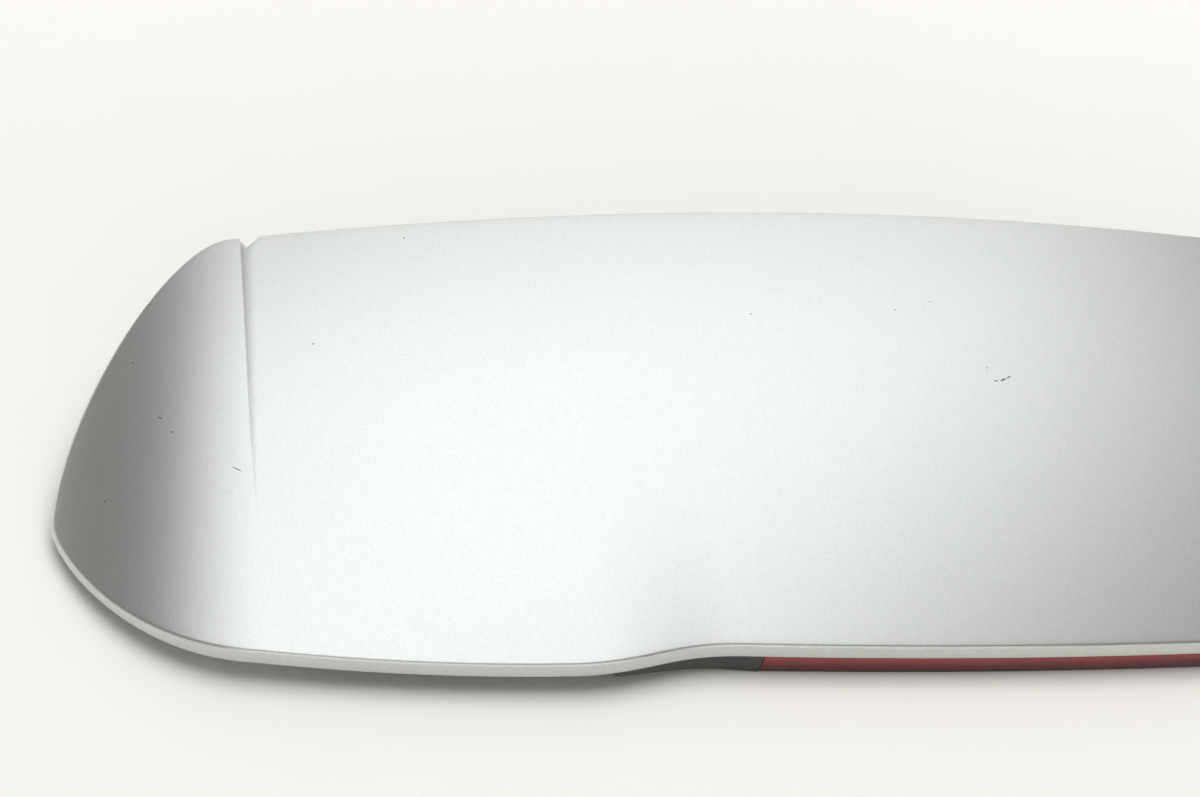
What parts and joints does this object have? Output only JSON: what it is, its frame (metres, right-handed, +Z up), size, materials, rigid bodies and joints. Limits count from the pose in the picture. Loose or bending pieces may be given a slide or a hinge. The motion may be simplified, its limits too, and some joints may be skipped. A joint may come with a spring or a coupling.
{
  "type": "car rear spoiler",
  "caption": "Silver roof-edge car spoiler: a broad curved upper skin with a turned-down lip, grooved shoulders, rounded ends and a red stop lamp in its trailing edge over a bolted lower tray.",
  "frame": {"origin": "middle of the footprint, on the surface that the part rests on", "axes": "+X across the car to its right, +Y forward to the roof, +Z up; the trailing edge is towards -Y"},
  "size_m": [1.194, 0.355, 0.1248],
  "materials": {
    "silver_paint": "metallic silver paint under clear coat on ABS",
    "grey_plastic": "grained dark grey ABS",
    "adhesive": "cured polyurethane bead",
    "foam": "closed-cell foam",
    "zinc_steel": "zinc plated",
    "nylon": "natural nylon",
    "red_acrylic": "clear red acrylic",
    "black_plastic": "moulded black",
    "board": "solder resist",
    "diode": "cast epoxy",
    "brass": "tinned brass"
  },
  "bodies": {
    "root": {"upper_skin": "silver_paint", "lower_skin": "grey_plastic", "bond_bead": "adhesive", "front_seal": "foam", "mounting_studs": "zinc_steel", "stud_gaskets": "foam", "end_clips": "nylon", "lamp_lens": "red_acrylic", "lamp_housing": "black_plastic", "lamp_circuit_board": "board", "lamp_leds": "diode", "lamp_terminals": "brass", "lamp_gasket": "foam", "lamp_screws": "zinc_steel"}
  },
  "joints": []
}
